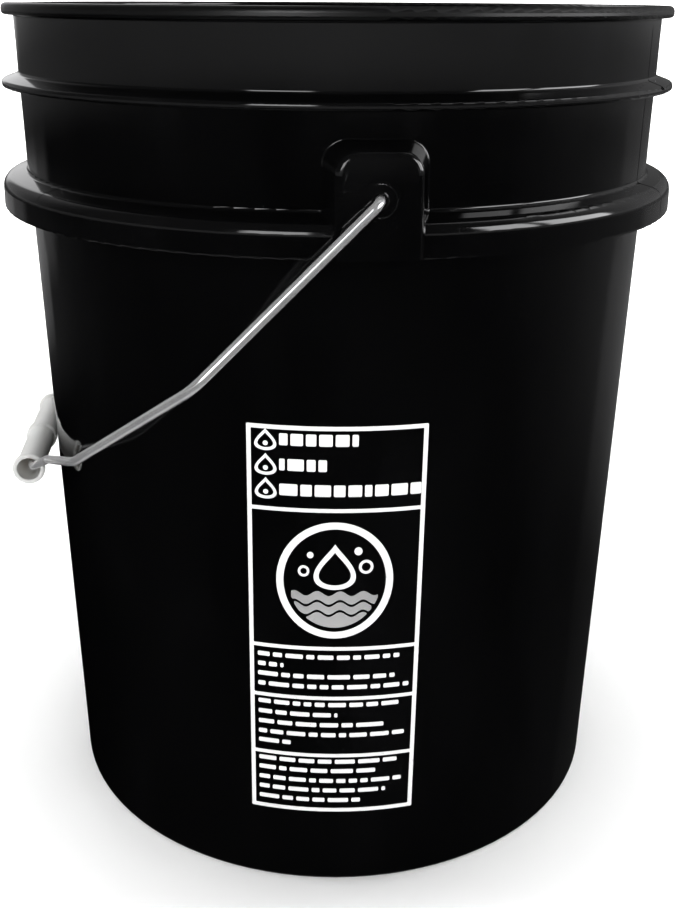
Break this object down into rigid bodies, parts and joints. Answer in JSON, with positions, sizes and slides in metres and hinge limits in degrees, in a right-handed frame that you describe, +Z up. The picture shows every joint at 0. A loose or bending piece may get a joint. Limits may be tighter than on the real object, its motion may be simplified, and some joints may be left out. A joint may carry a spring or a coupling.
{
  "type": "wash bucket",
  "caption": "Tapered round open-head plastic bucket with a stacking collar, an upper ring, a rolled rim, a swinging steel wire bail and a tubular plastic hand grip.",
  "frame": {"origin": "on the bucket's axis, in the plane that the foot ring stands on", "axes": "+Z up along the bucket's axis; Y is the bail's hinge axis; the bail hangs on the -X side"},
  "size_m": [0.3058, 0.3292, 0.3683],
  "materials": {
    "black_hdpe": "gloss, moulded polyethylene, with a white printed panel on one side",
    "zinc_wire": "bright zinc-plated drawn wire",
    "white_grip": "satin natural white polyethylene"
  },
  "bodies": {
    "pail": {"pail_body": "black_hdpe"},
    "bail": {"bail_wire": "zinc_wire"},
    "grip": {"bail_grip": "white_grip"}
  },
  "joints": [
    {"name": "bail_swing", "type": "hinge", "parent": "pail", "child": "bail", "pos_m": [0, 0, 0.3032], "axis": [0, 1, 0], "range_deg": [0, 268.3]},
    {"name": "grip_spin", "type": "hinge", "parent": "bail", "child": "grip", "pos_m": [-0.14563, 0, 0.1618], "axis": [0, 1, 0], "continuous": true}
  ]
}
